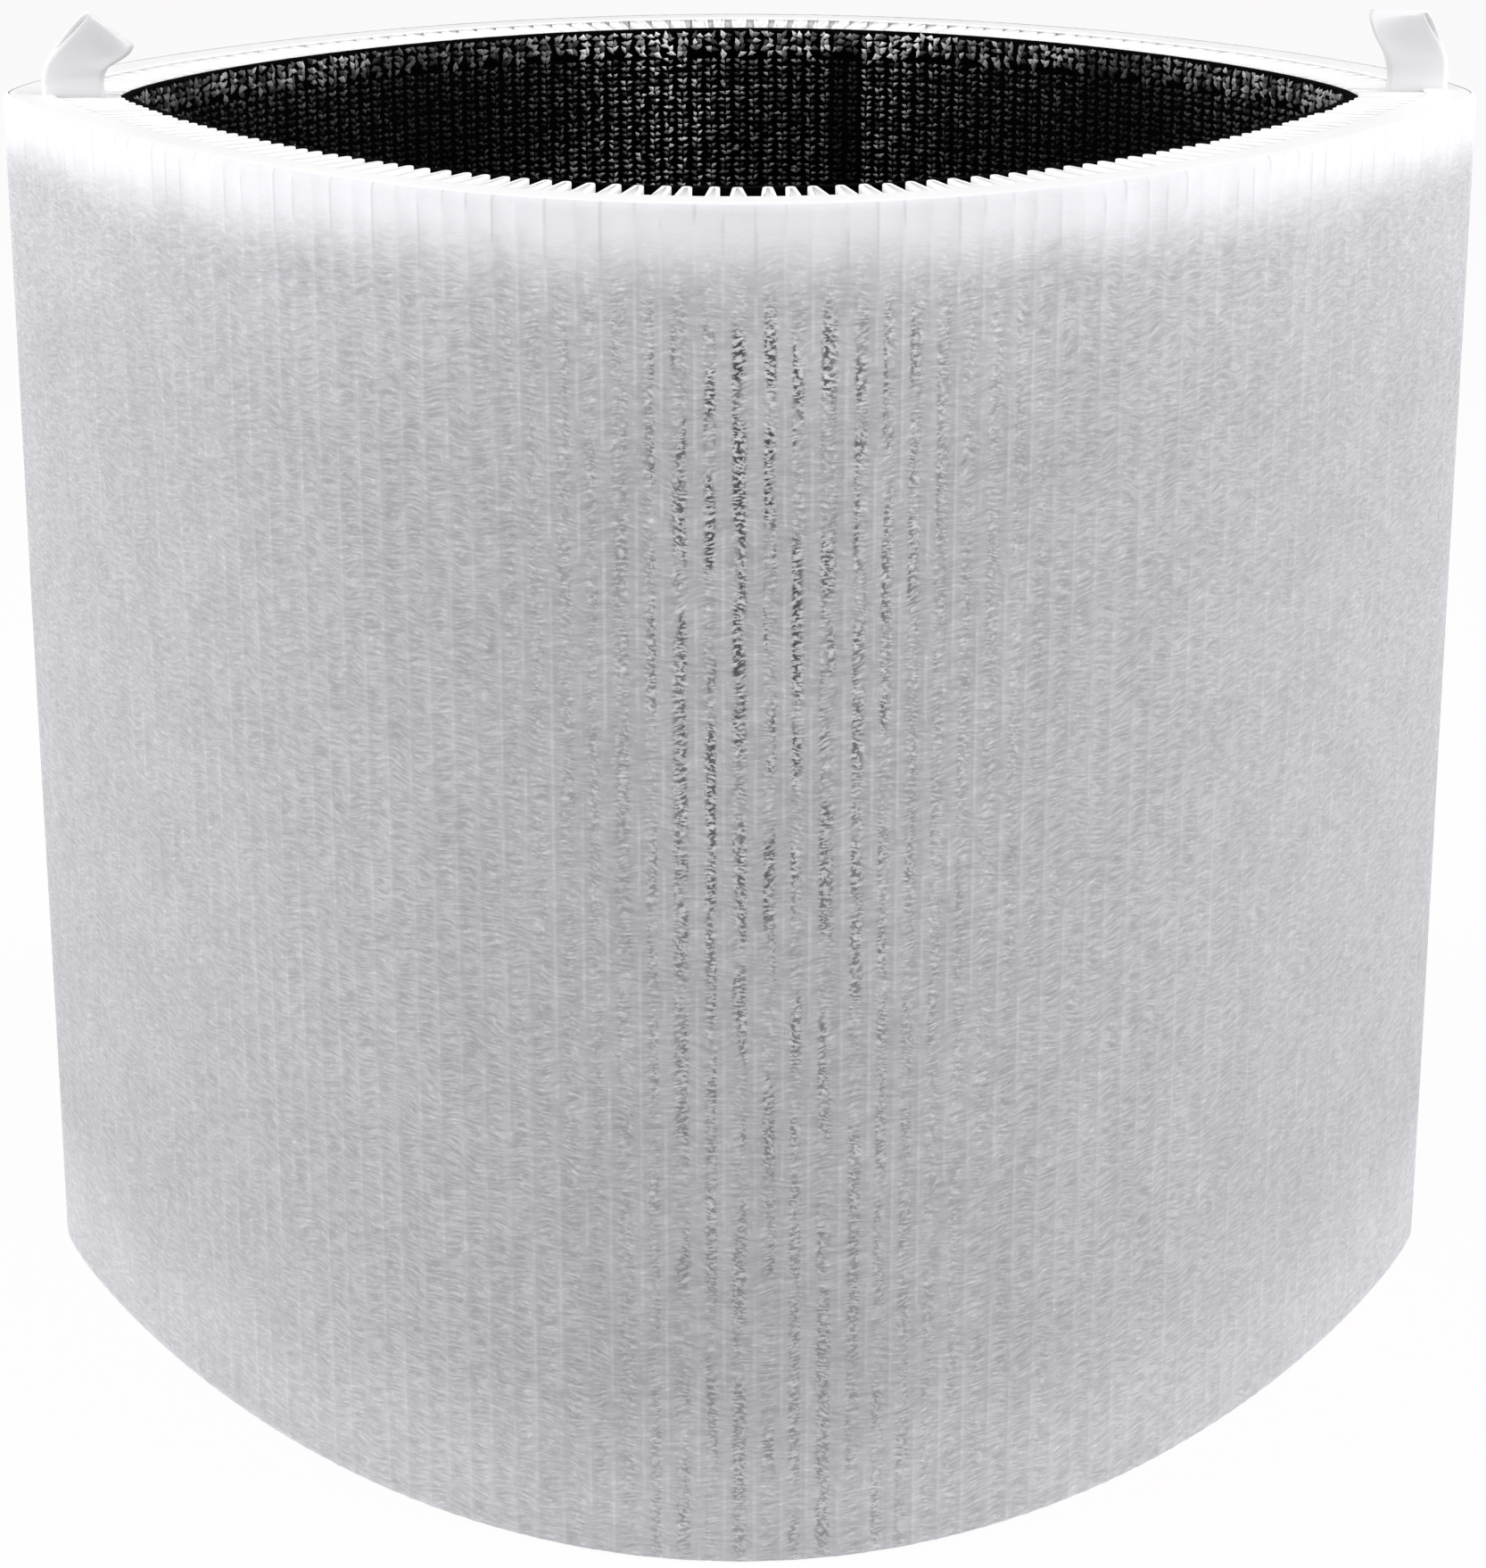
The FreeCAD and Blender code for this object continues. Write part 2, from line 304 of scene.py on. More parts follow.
def fluff_material():
    """White nonwoven: fine fibres, matted over each fold and thin over each
    valley, and soaked with adhesive at the rim. Lengths are millimetres."""
    n = Nodes("fluff")
    flat = unrolled(n)
    split = n.add("ShaderNodeSeparateXYZ", Vector=flat)
    round_way, height = split.outputs[0], split.outputs[1]
    rim = TOP / MM
    from_valley = n.math("ABSOLUTE", n.math("SUBTRACT", n.attribute("fold"), 0.5))
    where = bent(n, flat)
    level = fibre_streaks(n, where, turn=3, length=3.2, thickness=0.42, seed=3.1)
    rising = fibre_streaks(n, where, turn=33, length=1.05, thickness=0.46, seed=9.4)
    falling = fibre_streaks(n, where, turn=-35, length=1.05, thickness=0.46, seed=5.7)
    long_fibre = fibre_streaks(n, where, turn=38, length=4.5, thickness=0.6, seed=14.2)
    slanted = n.math("MINIMUM", rising, falling)
    cloud = n.noise(where, 0.08, 3.0, 0.6, flat=True)
    mottle = n.noise(where, 0.55, 1.0, 0.5, flat=True)
    patch = n.noise(n.moved(flat, (0.22, 0.07, 1)), 1.0, 2.0, 0.6, flat=True)

    # The sleeve is drawn thin over the middle of the front and of the rear,
    # where thin spots over a valley let its dark depth through
    per_mm = 2 * FULL_TURN / (OUTER * PLAN_LENGTH / MM)
    face = n.math("COSINE", n.math("MULTIPLY_ADD", round_way, per_mm, -DRAWN_SHIFT * per_mm))
    drawn = n.stretch(face, 0.60, 0.985)
    drawn = n.math("MULTIPLY", drawn, n.stretch(height, DRAWN_LOW, DRAWN_HIGH, 0.45, 1.0))
    thinnest = n.stretch(face, 0.90, 0.985, 0.35, 1.0)
    valley = n.math("MULTIPLY", n.stretch(from_valley, 0.30, 0.14), drawn)
    spot = n.math("MULTIPLY", n.stretch(slanted, 0.455, 0.375), n.stretch(patch, 0.42, 0.58, 0.12, 1.0))
    spot = n.math("MULTIPLY", n.math("MULTIPLY", spot, valley), thinnest)
    soft_height = n.math("MULTIPLY_ADD", cloud, 3.0, height)
    below_rim = n.stretch(soft_height, rim - SPOTS_LEAST, rim - SPOTS_MOST)
    thin = n.math("MULTIPLY", n.math("MULTIPLY", spot, below_rim), 0.86)
    cover = n.math("SUBTRACT", 1.0, thin, clamp=True)

    tone = n.stretch(level, 0.36, 0.66, 0.595, 0.655)
    for pattern, low, high, darker, lighter in (
        (cloud, 0.35, 0.65, -0.015, 0.015),
        (mottle, 0.35, 0.65, -0.015, 0.015),
        (rising, 0.60, 0.72, 0.0, 0.09),
        (long_fibre, 0.38, 0.66, -0.02, 0.04),
    ):
        tone = n.math("ADD", tone, n.stretch(pattern, low, high, darker, lighter))
    lit_fibre = n.math("MULTIPLY", n.stretch(slanted, 0.46, 0.54), valley)
    tone = n.math("MULTIPLY_ADD", lit_fibre, 0.13, tone)
    # Away from there the valleys are only ragged, in level wisps
    wisp = n.stretch(level, 0.42, 0.58, -0.035, 0.03)
    wisp = n.math("MULTIPLY", wisp, n.stretch(from_valley, 0.36, 0.22))
    tone = n.math("MULTIPLY_ADD", wisp, n.stretch(face, -0.3, 0.6), tone)
    # Over a fold the fibres are matted into a pale line, and a highlight along the fold is painted into
    # it
    pressed_and_highlit_fold = n.math("MULTIPLY", n.stretch(from_valley, 0.41, 0.47), n.stretch(patch, 0.60, 0.44))
    pressed_and_highlit_fold = n.math("MULTIPLY", pressed_and_highlit_fold, n.math("MULTIPLY_ADD", drawn, 0.55, 0.45))
    tone = n.math("MULTIPLY_ADD", pressed_and_highlit_fold, 0.095, tone)
    # Painted light from above: the sleeve is painted paler towards the rim
    tone = n.math("ADD", tone, n.stretch(height, rim - LIT_FROM_ABOVE_LEAST, rim - LIT_FROM_ABOVE_MOST, 0.0, 0.07))
    # Painted bounce light from the floor: the sleeve is painted paler towards its foot
    tone = n.math("ADD", tone, n.stretch(height, FLOOR_BOUNCE_HEIGHT, 0.0, 0.0, 0.11))

    # Adhesive soaks the sleeve at the rim, with a faint tick over some folds
    soaked = n.stretch(soft_height, rim - SOAKED_LEAST, rim - SOAKED_MOST)
    dry = n.math("SUBTRACT", 1.0, soaked)
    tick = n.math("MULTIPLY", n.stretch(from_valley, 0.40, 0.49), n.stretch(patch, 0.44, 0.56))
    wet = n.math("MULTIPLY_ADD", tick, -0.09, n.stretch(cloud, 0.3, 0.7, 0.84, 0.87))
    tone = n.math("ADD", n.math("MULTIPLY", tone, dry), n.math("MULTIPLY", wet, soaked))
    colour = n.blend(tone, (0, 0, 0, 1), (1.0, 0.995, 1.03, 1))

    relief = n.math("ADD", level, n.math("MULTIPLY", slanted, 0.5))
    normal = n.bump(relief, 0.08 * MM, 0.5)
    front = n.add("ShaderNodeBsdfDiffuse", Color=colour, Roughness=0.9, Normal=normal)
    through = n.add("ShaderNodeBsdfTranslucent", Color=colour, Normal=normal)
    fibre = n.mixed(n.math("MULTIPLY_ADD", soaked, -0.30, 0.42), front, through)
    gap = n.add("ShaderNodeBsdfTransparent")
    # Shadow rays take the thin spots as solid, which keeps renders quick
    n.material.use_transparent_shadow = False
    return n.finish(n.mixed(cover, gap, fibre))


def paper_material():
    """White filter paper with a fine felted grain."""
    n = Nodes("pleat_paper")
    where = n.add("ShaderNodeTexCoord").outputs["Object"]
    grain = n.noise(where, 900.0, 3.0, 0.6)
    mottle = n.noise(where, 60.0, 3.0, 0.5)
    tone = n.blend(n.stretch(mottle, 0.3, 0.7), (0.86, 0.86, 0.87, 1), (0.93, 0.93, 0.94, 1))
    normal = n.bump(grain, 0.08 * MM, 0.6)
    shader = n.add("ShaderNodeBsdfPrincipled", Base_Color=tone, Roughness=0.9, Normal=normal)
    shader.inputs["Specular IOR Level"].default_value = 0.2
    return n.finish(shader)


def white_material(name, level, roughness, grain_size, grain_depth):
    """Smooth white moulding or set adhesive with a little unevenness."""
    n = Nodes(name)
    where = n.add("ShaderNodeTexCoord").outputs["Object"]
    grain = n.noise(where, 1 / grain_size, 3.0, 0.55)
    mottle = n.noise(where, 25.0, 2.0, 0.5)
    low = (level - 0.03, level - 0.03, level - 0.02, 1)
    high = (level, level, level + 0.005, 1)
    tone = n.blend(n.stretch(mottle, 0.3, 0.7), low, high)
    rough = n.stretch(grain, 0.2, 0.8, roughness - 0.08, roughness + 0.08)
    normal = n.bump(grain, grain_depth, 0.5)
    return n.finish(n.add("ShaderNodeBsdfPrincipled", Base_Color=tone, Roughness=rough, Normal=normal))


def felt_material():
    """Black felt of the carbon sleeve and of the net's ground."""
    level, grain_size = 0.0015, 0.3 * MM
    n = Nodes("carbon_felt")
    where = n.add("ShaderNodeTexCoord").outputs["Object"]
    grain = n.noise(where, 1 / grain_size, 4.0, 0.65)
    tone = n.blend(n.stretch(grain, 0.25, 0.75), grey(level * 0.55), grey(level, 0.05))
    normal = n.bump(grain, grain_size * 0.25, 0.8)
    shader = n.add("ShaderNodeBsdfPrincipled", Base_Color=tone, Roughness=0.95, Normal=normal)
    shader.inputs["Specular IOR Level"].default_value = 0.02
    return n.finish(shader)


def yarn_material():
    """Black yarn of the net: each stroke differs, with a highlight painted into its colour."""
    n = Nodes("net_yarn")
    where = n.add("ShaderNodeTexCoord").outputs["Object"]
    grain = n.noise(where, 1 / (0.3 * MM), 2.0, 0.6)
    patch = n.noise(n.moved(where, (1, 1, 0.6)), 28.0, 2.0, 0.5)
    painted_highlight = n.math("MULTIPLY", n.stretch(grain, 0.3, 0.7, 0.5, 1.0), n.attribute("painted_highlight"))
    painted_highlight = n.math("MULTIPLY", painted_highlight, n.stretch(patch, 0.38, 0.56, 0.30, 1.0))
    # Painted highlight: the black yarn is painted towards light grey by each stroke's highlight level
    tone = n.blend(painted_highlight, grey(0.002), grey(0.9, 0.02))
    normal = n.bump(grain, 0.05 * MM, 0.6)
    shader = n.add("ShaderNodeBsdfPrincipled", Base_Color=tone, Roughness=0.6, Normal=normal)
    shader.inputs["Specular IOR Level"].default_value = 0.08
    return n.finish(shader)


def satin_material():
    """White satin ribbon: fine cross threads and a soft sheen."""
    n = Nodes("satin_ribbon")
    where = n.add("ShaderNodeUVMap", {"uv_map": "surface"}).outputs[0]
    threads = n.add("ShaderNodeTexWave", {"bands_direction": "Y"}, Vector=where, Scale=1600.0)
    weave = threads.outputs["Fac"]
    tone = n.blend(weave, (0.77, 0.77, 0.785, 1), (0.80, 0.80, 0.815, 1))
    normal = n.bump(weave, 0.01 * MM, 0.4)
    shader = n.add("ShaderNodeBsdfPrincipled", Base_Color=tone, Roughness=0.38, Normal=normal)
    shader.inputs["Sheen Weight"].default_value = 0.3
    return n.finish(shader)


def uneven(spread, limit):
    """One random share of a pitch for each pleat, within a limit."""
    return rng.normal(0, spread, PLEATS).clip(-limit, limit) * PITCH


# Every fold stands a little off its even place, and the sleeve, the pleats
# and the adhesive all follow the same folds. A tooth is an inner fold
fold_turn = np.arange(PLEATS) * PITCH + uneven(0.055, 0.13)
tooth_turn = fold_turn + 0.5 * PITCH + uneven(0.05, 0.12)
tooth_setback = rng.normal(0, 0.25, PLEATS).clip(0, 0.4) * MM


def arc(radius, start, end, steps):
    """Offsets (sideways, outwards) on an arc about its own middle, in degrees."""
    angle = np.radians(np.linspace(start, end, steps))
    return np.stack([radius * np.sin(angle), radius * np.cos(angle)], axis=1)


def placed(offsets, turn, middle):
    """Plan points of an arc whose middle lies at a turn and a size."""
    radius = middle + offsets[:, 1]
    return plan_points(radius, turn - turn_for(radius, offsets[:, 0]), 0.0)[:, :2]


def pleat_outline(grow):
    """Plan line through all folds, offset outwards by grow from mid paper."""
    outer_bend, inner_bend = 0.78 * MM, 0.45 * MM
    crown_points, tooth_points = 7, 6
    # Degrees that each bend goes on to either side of its tip
    bent_by = 84
    line = []
    for index in range(PLEATS):
        crown = arc(outer_bend + grow, bent_by, -bent_by, crown_points)
        line.append(placed(crown, fold_turn[index], FOLD_OUTER - PAPER / 2 - outer_bend))
        tooth = arc(inner_bend - grow, 180 - bent_by, 180 + bent_by, tooth_points)
        middle = FOLD_INNER + tooth_setback[index] + PAPER / 2 + inner_bend
        line.append(placed(tooth, tooth_turn[index], middle))
    return np.concatenate(line)


def make_pleats(material):
    """The folded paper strip, with a softened cut edge at the top."""
    outside = pleat_outline(PAPER / 2)
    inside = pleat_outline(-PAPER / 2)
    middle = (outside + inside) / 2
    edge, flat_share = 0.12 * MM, 0.7
    rows = [
        (outside, BOTTOM_SEAT),
        (outside, PAPER_TOP - edge),
        (middle + (outside - middle) * flat_share, PAPER_TOP),
        (middle + (inside - middle) * flat_share, PAPER_TOP),
        (inside, PAPER_TOP - edge),
        (inside, BOTTOM_SEAT),
    ]
    points = [np.column_stack([plan, np.full(len(plan), z)]) for plan, z in rows]
    faces = grid_faces(len(rows), len(outside), close_rows=True)
    piece = mesh_object("pleats", np.concatenate(points), faces, material)
    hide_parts("pleated_media")
    return piece


# Height of the sleeve's face over a pleat, from one fold to the next
CREST = np.array([0.12, 0.0, -0.04, -0.07, -0.08, -0.07, -0.04, 0.0]) * MM
SLEEVE_FACE = OUTER - 0.16 * MM
# At the rim the sleeve turns in over this height: each step's inset, and its
# share of the height
SLEEVE_TURN = 1.2 * MM
TURNED_IN = [(0.08 * MM, 0.45), (0.35 * MM, 0.85), (0.8 * MM, 1.0)]


def sleeve_levels():
    """Heights of the sleeve's rows of points, and how far each is set in."""
    foot, foot_inset = 0.25 * MM, 0.35 * MM
    even_from, even_rows = 1.0 * MM, 26
    heights, insets = [foot], [foot_inset]
    for z in np.linspace(even_from, TOP - SLEEVE_TURN, even_rows):
        heights.append(z)
        insets.append(0.0)
    for inset, share in TURNED_IN:
        heights.append(TOP - SLEEVE_TURN + share * SLEEVE_TURN)
        insets.append(inset)
    return np.array(heights), np.array(insets)


def make_sleeve(material):
    """The fluffy sleeve: a fine crest over each fold, turned in at the rim."""
    per_pleat = len(CREST)
    following = np.roll(fold_turn, -1)
    following[-1] += FULL_TURN
    share = np.arange(per_pleat) / per_pleat
    turn = fold_turn[:, None] + (following - fold_turn)[:, None] * share
    # The crests differ, and are sharper in the middle of a face than at the tabs
    least, most = 0.6, 1.15
    usual, swing = 0.65, 0.35
    relief = CREST[None, :] * rng.uniform(least, most, (PLEATS, 1))
    relief *= usual - swing * np.cos(2 * fold_turn)[:, None]
    turn, relief = turn.ravel(), relief.ravel()
    columns = len(turn)
    heights, insets = sleeve_levels()
    # A slight wave runs round the whole sleeve and winds upwards
    wave_height, waves, winding = 0.048 * MM, 5, 9
    wave = wave_height * np.sin(heights[:, None] / TOP * winding + turn * waves)
    radius = SLEEVE_FACE + relief - insets[:, None] + wave
    points = plan_points(radius, turn, heights[:, None])

    # The columns and the surface coordinate start and end at the middle of
    # the rear
    from_rear = (turn + 1.5 * math.pi) % FULL_TURN
    start = int(np.argmin(from_rear))
    points = np.roll(points, -start, axis=1)
    around = OUTER * PLAN_LENGTH
    distance = np.roll(from_rear, -start) / FULL_TURN * around
    faces = grid_faces(len(heights), columns)
    row, column = faces // columns, faces % columns
    closing = (column == 0) & (column.max(axis=1, keepdims=True) == columns - 1)
    wide = distance[column] + np.where(closing, around, 0.0)
    uv = np.stack([wide, heights[row]], axis=-1)
    piece = mesh_object("sleeve", points, faces, material, uv)

    # Share of the way from one fold to the next at each corner
    first = (column[:, :1] + start) % columns % per_pleat
    place = (first + np.array([0, 1, 1, 0])) / per_pleat
    fold = piece.data.attributes.new("fold", "FLOAT", "CORNER")
    fold.data.foreach_set("value", place.ravel().astype(np.float32))
    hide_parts("outer_wrap")
    return piece


def make_rim(material):
    """White ring on the outer part of the pleats, with soft edges."""
    steps = 372
    turn = np.arange(steps) * FULL_TURN / steps
    # Its edges wander a little from the plan, in long and short waves
    wave = 0.05 * MM * np.sin(turn * 23 + 1.0) + 0.04 * MM * np.sin(turn * 57)
    # Size of each line of the ring's section, and how far it is below the top
    section = [
        (RING_INNER, 0.40 * MM),
        (RING_INNER - 0.02 * MM, 0.12 * MM),
        (RING_INNER + 0.12 * MM, 0.02 * MM),
        (RING_INNER + 0.5 * MM, 0.0),
        (RING_OUTER - 1.2 * MM, 0.0),
        (RING_OUTER - 0.3 * MM, 0.05 * MM),
        (RING_OUTER, 0.40 * MM),
    ]
    rows = [plan_points(radius + wave, turn, TOP - below) for radius, below in section]
    faces = grid_faces(len(rows), steps, close_rows=True)[:, ::-1]
    piece = mesh_object("rim", np.concatenate(rows), faces, material)
    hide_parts("top_ring")
    return piece


def valley_fill(index):
    """Rings of points round the adhesive in one outer valley, from the top
    down."""
    levels = 5
    mean_depth, depth_spread = 7.2 * MM, 0.7 * MM
    face_gap, paper_gap, back_gap = 0.02 * MM, 0.35 * MM, 0.3 * MM
    # Share of its width half way in. At the foot: the least share of its
    # width, and how far its face draws back
    half_way_in, least, drawn_back = 0.45, 0.35, 1.6 * MM
    left = fold_turn[index]
    right = fold_turn[(index + 1) % PLEATS]
    if right < left:
        right += FULL_TURN
    middle = 0.5 * (left + right)
    depth = mean_depth + rng.normal(0, depth_spread)
    outside = RING_OUTER - face_gap
    back = FOLD_INNER + PAPER + back_gap
    widest = 0.5 * (right - left) - turn_for(outside, paper_gap)
    rings = []
    for level in range(levels):
        share = level / (levels - 1)
        # The fill rounds off towards its lower end
        full = math.sqrt(max(0.0, 1 - share**4))
        half = widest * (least + (1 - least) * full)
        face = outside - (1 - full) * drawn_back
        between = 0.5 * (face + back)
        ring = [
            (face, middle - half),
            (face, middle),
            (face, middle + half),
            (between, middle + half_way_in * half),
            (back, tooth_turn[index]),
            (between, middle - half_way_in * half),
        ]
        radii, turns = np.array(ring).T
        rings.append(plan_points(radii, turns, POTTING_TOP - depth * share))
    return rings


def fold_plug(index):
    """Rings of points round the adhesive inside one outer fold, under the
    ring, from the top down."""
    depth, narrowed = 2.6 * MM, 0.94
    ring_gap, fold_gap = 0.3 * MM, 1.6 * MM
    near, far = RING_INNER + ring_gap, FOLD_OUTER - fold_gap
    radii = np.array([far, near, near, far])
    sides = np.array([-1, -1, 1, 1])
    # An inner valley narrows outwards, from a whole pitch to nothing
    half = 0.5 * PITCH * (FOLD_OUTER - radii) / (FOLD_OUTER - FOLD_INNER)
    rings = []
    for below, grow in ((0.0, 1.0), (depth, narrowed)):
        turns = fold_turn[index] + sides * half * grow
        rings.append(plan_points(radii, turns, POTTING_TOP - below))
    return rings


def add_prism(points, faces, rings):
    """Add a closed prism through rings of points, given from the top down."""
    levels, sides, first = len(rings), len(rings[0]), len(points)
    foot = first + sides * (levels - 1)
    faces.extend(list(quad) for quad in grid_faces(levels, sides)[:, ::-1] + first)
    faces.append(list(range(first, first + sides)))
    faces.append(list(range(foot, foot + sides))[::-1])
    points.extend(np.concatenate(rings))


def make_potting(material):
    """Adhesive in the outer valleys at the top, each run down unevenly, and
    in the inner valleys under the ring."""
    points, faces = [], []
    for index in range(PLEATS):
        add_prism(points, faces, valley_fill(index))
    for index in range(PLEATS):
        add_prism(points, faces, fold_plug(index))
    piece = mesh_object("potting", points, faces, material)
    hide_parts("top_potting")
    return piece


# The net is knitted in rows of stitches on upright ribs, and is closed by a
# lap seam and a folded hem
ROW_PITCH = 1.22 * MM
RIB_PITCH = 2.66 * MM
NET_FACE = CARBON_INNER - 0.45 * MM
NET_RIBS = round(NET_FACE * PLAN_LENGTH / RIB_PITCH)
RIB_RELIEF = [0.22 * MM, 0.12 * MM, -0.1 * MM, 0.12 * MM]
LAP_TURN = math.radians(78)
LAP_WIDTH = 6.0 * MM
LAP_RELIEF = 0.42 * MM
HEM = 5.0 * MM
HEM_LIFT = 0.3 * MM
# Share of the rows under which stitches turn simpler, and then simplest
UPPER_SHARE, MIDDLE_SHARE = 0.79, 0.50
# A stroke's slant, its distance from the rib, its length and its height: each
# of a pair, and one that stands alone
PAIRED_STROKE = (0.62, 0.44 * MM, 1.25 * MM, 0.72 * MM)
SINGLE_STROKE = (0.25, 0.0, 1.85 * MM, 0.68 * MM)
# Spread of the strokes' heights and places, and of their tilt, in the wall
# and in the hem, where they are also larger
HEIGHT_SPREAD, PLACE_SPREAD = 0.16 * MM, 0.10 * MM
TILT_SPREAD, HEM_TILT_SPREAD = 0.32, 0.8
HEM_GROWTH = 1.4


def over_lap(turn):
    """Whether a turn lies on the net's lap seam."""
    return np.abs(turn_from(LAP_TURN, turn)) < turn_for(NET_FACE, LAP_WIDTH / 2)


def stroke_shape(sides):
    """Points of one stroke of yarn, as shares of its half length, its half
    height and its depth, and its faces: a ring in the middle, one at the edge
    and a tip."""
    inner_ring, inner_depth = 0.55, 0.85
    angle = np.linspace(0, FULL_TURN, sides, endpoint=False)
    side = np.concatenate([np.cos(angle) * inner_ring, np.cos(angle), [0.0]])
    up = np.concatenate([np.sin(angle) * inner_ring, np.sin(angle), [0.0]])
    out = np.concatenate([np.full(sides, inner_depth), np.zeros(sides), [1.0]])
    tip = 2 * sides
    faces = []
    for corner in range(sides):
        after = (corner + 1) % sides
        faces.append((corner, after, tip))
        faces.append((sides + corner, sides + after, after))
        faces.append((sides + corner, after, corner))
    return side, up, out, np.array(faces)


def stroke_mesh(turn, height, size, tilt, radius, sides):
    """Points and faces of many small strokes of yarn on the inside of the net."""
    long, tall, deep = (values[:, None] for values in size)
    side, up, out, faces = stroke_shape(sides)
    # The ends of a stroke hang lower than its middle
    sag = 0.12
    sideways = side * long / 2
    upwards = up * tall / 2 - sag * tall * (2 * side**2 - 1)
    cos, sin = np.cos(tilt)[:, None], np.sin(tilt)[:, None]
    along = sideways * cos - upwards * sin
    rise = sideways * sin + upwards * cos
    radius = radius[:, None]
    turns = turn[:, None] + turn_for(radius, along)
    points = plan_points(radius - out * deep, turns, height[:, None] + rise)
    faces = faces + (np.arange(len(turn)) * len(side))[:, None, None]
    return points.reshape(-1, 3), faces.reshape(-1, 3)


def painted_highlight_strength(turn, height, in_hem, in_lap):
    """Strength of the highlight painted into yarn at a place: most at the rim
    and in the hem, and least on the lap seam."""
    depth = (NET_TOP - height) / MM
    deep_down, at_rim, rim_fades_over = 0.015, 0.50, 7
    near_top = deep_down + at_rim * np.exp(-depth / rim_fades_over)
    # The highlight is painted strongest on the middle of the rear wall, and fades further down
    highlight_turn, highlight_spread = math.radians(93), math.radians(19)
    rear_highlight, rear_highlight_fades_over = 1.8, 120
    near_highlight_middle = np.exp(-((turn_from(highlight_turn, turn) / highlight_spread) ** 2))
    light = near_top + rear_highlight * near_highlight_middle * np.exp(-depth / rear_highlight_fades_over)
    in_hem_gain, lap_share, hem_lap_share = 1.9, 0.12, 0.4
    on_lap = np.where(in_lap, np.where(in_hem, hem_lap_share, lap_share), 1.0)
    return light * (np.where(in_hem, in_hem_gain, 1.0) * on_lap)


def net_rows(name, low, high, sides, paired, material):
    """Stitches of the net between two heights, in strokes with so many sides:
    two slanting strokes each if paired, or else a broad one."""
    rib = np.arange(NET_RIBS) * FULL_TURN / NET_RIBS
    turn, height = np.meshgrid(rib, np.arange(low, high, ROW_PITCH))
    turn, height = turn.ravel(), height.ravel()
    if paired:
        hand = np.tile([-1.0, 1.0], len(turn))
        turn, height = np.repeat(turn, 2), np.repeat(height, 2)
        slant, apart, long, tall = PAIRED_STROKE
    else:
        hand = np.where(rng.random(len(turn)) < 0.5, 1.0, -1.0)
        slant, apart, long, tall = SINGLE_STROKE
    count = len(turn)
    in_hem = height > NET_TOP - HEM
    grown = np.where(in_hem, HEM_GROWTH, 1.0)
    height = height + rng.normal(0, HEIGHT_SPREAD, count)
    aside = hand * apart + rng.normal(0, PLACE_SPREAD, count)
    turn = turn + turn_for(NET_FACE, aside)
    loose = np.where(in_hem, HEM_TILT_SPREAD, TILT_SPREAD)
    tilt = hand * slant + rng.normal(0, 1, count) * loose
    long = long * rng.uniform(0.8, 1.2, count) * grown
    tall = tall * rng.uniform(0.8, 1.25, count) * grown
    deep = rng.uniform(0.30, 0.48, count) * MM
    in_lap = over_lap(turn)
    # Strength of the highlight painted into each stroke's colour, partly at random and partly by place
    painted_highlight = rng.uniform(0.1, 1.0, count) ** 1.4 * painted_highlight_strength(turn, height, in_hem, in_lap)

    # The line under the hem stays free, and so does the upper edge
    free_line, free_edge = 0.3 * MM, 0.1 * MM
    keep = np.abs(height - (NET_TOP - HEM)) > free_line
    keep &= height < NET_TOP - free_edge
    own_lift, lap_lift = 0.1 * MM, 0.3 * MM
    lift = own_lift + np.where(in_hem, HEM_LIFT, 0.0) + np.where(in_lap, lap_lift, 0.0)
    points, faces = stroke_mesh(
        turn[keep],
        height[keep],
        (long[keep], tall[keep], deep[keep]),
        tilt[keep],
        NET_FACE - lift[keep],
        sides,
    )
    piece = mesh_object(name, points, faces, material)
    each = len(points) // int(keep.sum())
    level = piece.data.attributes.new("painted_highlight", "FLOAT", "POINT")
    level.data.foreach_set("value", np.repeat(painted_highlight[keep], each).astype(np.float32))
    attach(piece, "root")


